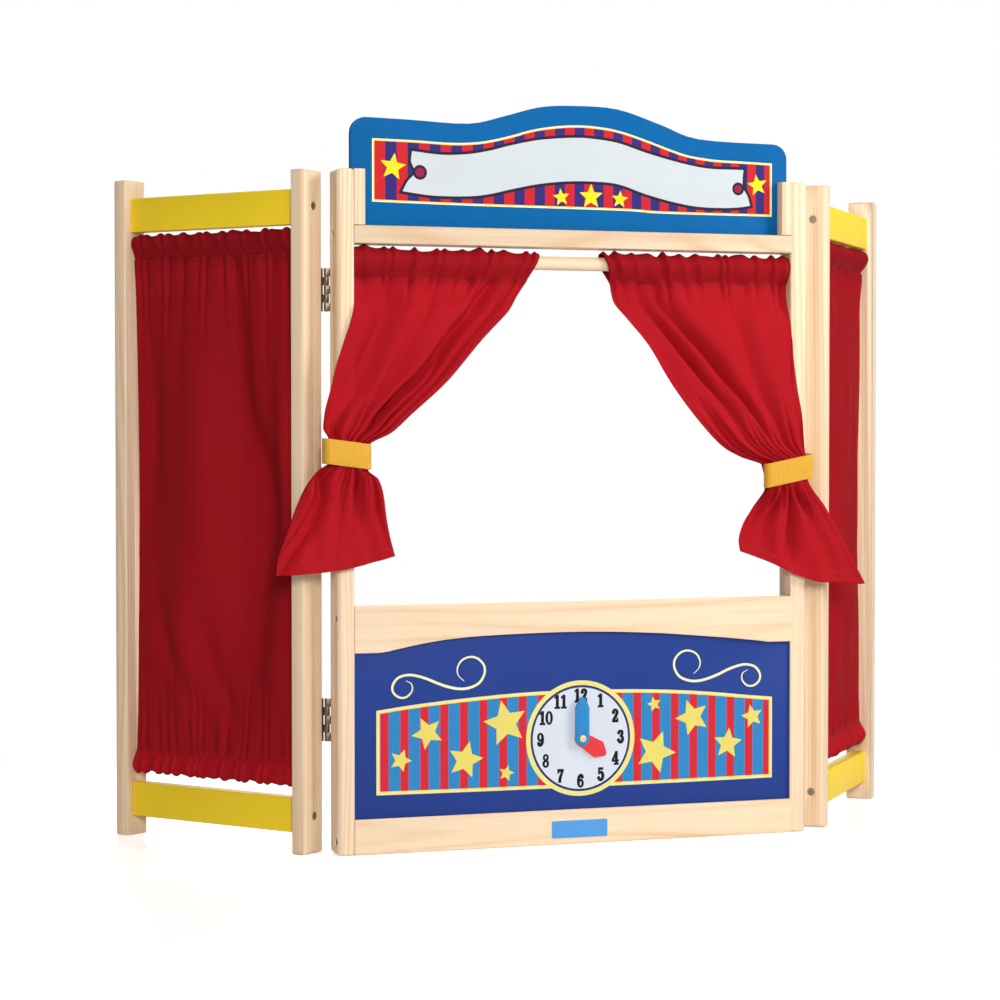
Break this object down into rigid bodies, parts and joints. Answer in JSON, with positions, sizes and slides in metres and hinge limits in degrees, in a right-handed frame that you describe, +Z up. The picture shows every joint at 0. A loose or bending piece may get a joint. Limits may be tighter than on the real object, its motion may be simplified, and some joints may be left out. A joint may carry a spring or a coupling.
{
  "type": "puppet theater stand",
  "caption": "Tabletop puppet theater stand: stage frame with tied-back curtains, lift-out sign and toy clock, and hinged curtain wings that fold flat behind it.",
  "frame": {"origin": "middle of the stage frame's bottom rail, on its underside", "axes": "+X along the stage to its right as the audience sees it, +Y from the audience to the puppeteer, +Z up"},
  "size_m": [0.7707, 0.2231, 0.6634],
  "materials": {
    "pine": "clear satin varnish on pale pine",
    "yellow_paint": "satin yellow paint on wood",
    "sign_blue": "satin blue paint with a plain printed ribbon, stripes and stars",
    "navy_panel": "printed hardboard, navy ground with stripes, stars, scrolls and a clock dial",
    "red_cloth": "plain woven red cloth, hemmed",
    "yellow_webbing": "woven webbing",
    "hinge_steel": "dull plated steel",
    "screw_steel": "zinc plated",
    "blue_plastic": "moulded blue plastic",
    "red_plastic": "moulded red plastic",
    "pin_brass": "dull brass"
  },
  "bodies": {
    "stage": {"top_rail": "pine", "sill_rail": "pine", "bottom_rail": "pine", "apron_panel": "navy_panel", "stage_rod": "pine", "clock_pin": "pin_brass", "left_stage_post": "pine", "left_front_cleat": "pine", "left_rear_cleat": "pine", "left_stage_curtain": "red_cloth", "left_tie_strap": "yellow_webbing", "left_top_rail_screw": "screw_steel", "left_sill_rail_screw": "screw_steel", "left_bottom_rail_screw": "screw_steel", "left_upper_hinge_stage_leaf": "hinge_steel", "left_upper_hinge_pin": "hinge_steel", "left_lower_hinge_stage_leaf": "hinge_steel", "left_lower_hinge_pin": "hinge_steel", "right_stage_post": "pine", "right_front_cleat": "pine", "right_rear_cleat": "pine", "right_stage_curtain": "red_cloth", "right_tie_strap": "yellow_webbing", "right_top_rail_screw": "screw_steel", "right_sill_rail_screw": "screw_steel", "right_bottom_rail_screw": "screw_steel", "right_upper_hinge_stage_leaf": "hinge_steel", "right_upper_hinge_pin": "hinge_steel", "right_lower_hinge_stage_leaf": "hinge_steel", "right_lower_hinge_pin": "hinge_steel"},
    "left_wing": {"left_wing_near_post": "pine", "left_wing_far_post": "pine", "left_wing_upper_rod": "pine", "left_wing_lower_rod": "pine", "left_wing_top_rail": "yellow_paint", "left_wing_bottom_rail": "yellow_paint", "left_wing_curtain": "red_cloth", "left_wing_near_top_screw": "screw_steel", "left_wing_far_top_screw": "screw_steel", "left_wing_near_bottom_screw": "screw_steel", "left_wing_far_bottom_screw": "screw_steel", "left_upper_hinge_wing_leaf": "hinge_steel", "left_lower_hinge_wing_leaf": "hinge_steel"},
    "right_wing": {"right_wing_near_post": "pine", "right_wing_far_post": "pine", "right_wing_upper_rod": "pine", "right_wing_lower_rod": "pine", "right_wing_top_rail": "yellow_paint", "right_wing_bottom_rail": "yellow_paint", "right_wing_curtain": "red_cloth", "right_wing_near_top_screw": "screw_steel", "right_wing_far_top_screw": "screw_steel", "right_wing_near_bottom_screw": "screw_steel", "right_wing_far_bottom_screw": "screw_steel", "right_upper_hinge_wing_leaf": "hinge_steel", "right_lower_hinge_wing_leaf": "hinge_steel"},
    "sign": {"sign_board": "sign_blue"},
    "minute_hand": {"minute_hand": "blue_plastic"},
    "hour_hand": {"hour_hand": "red_plastic"}
  },
  "joints": [
    {"name": "left_wing_fold", "type": "hinge", "parent": "stage", "child": "left_wing", "pos_m": [-0.22625, 0.02345, 0], "axis": [0, 0, -1], "range_deg": [-53, 126]},
    {"name": "right_wing_fold", "type": "hinge", "parent": "stage", "child": "right_wing", "pos_m": [0.22625, 0.02345, 0], "axis": [0, 0, 1], "range_deg": [-51, 128]},
    {"name": "sign_lift", "type": "slide", "parent": "stage", "child": "sign", "axis": [0, 0, 1], "range_m": [0, 0.048]},
    {"name": "minute_hand_turn", "type": "hinge", "parent": "stage", "child": "minute_hand", "pos_m": [0.003, -0.0045, 0.0948], "axis": [0, 1, 0], "continuous": true},
    {"name": "hour_hand_turn", "type": "hinge", "parent": "stage", "child": "hour_hand", "pos_m": [0.003, -0.0025, 0.0948], "axis": [0, 1, 0], "continuous": true}
  ]
}
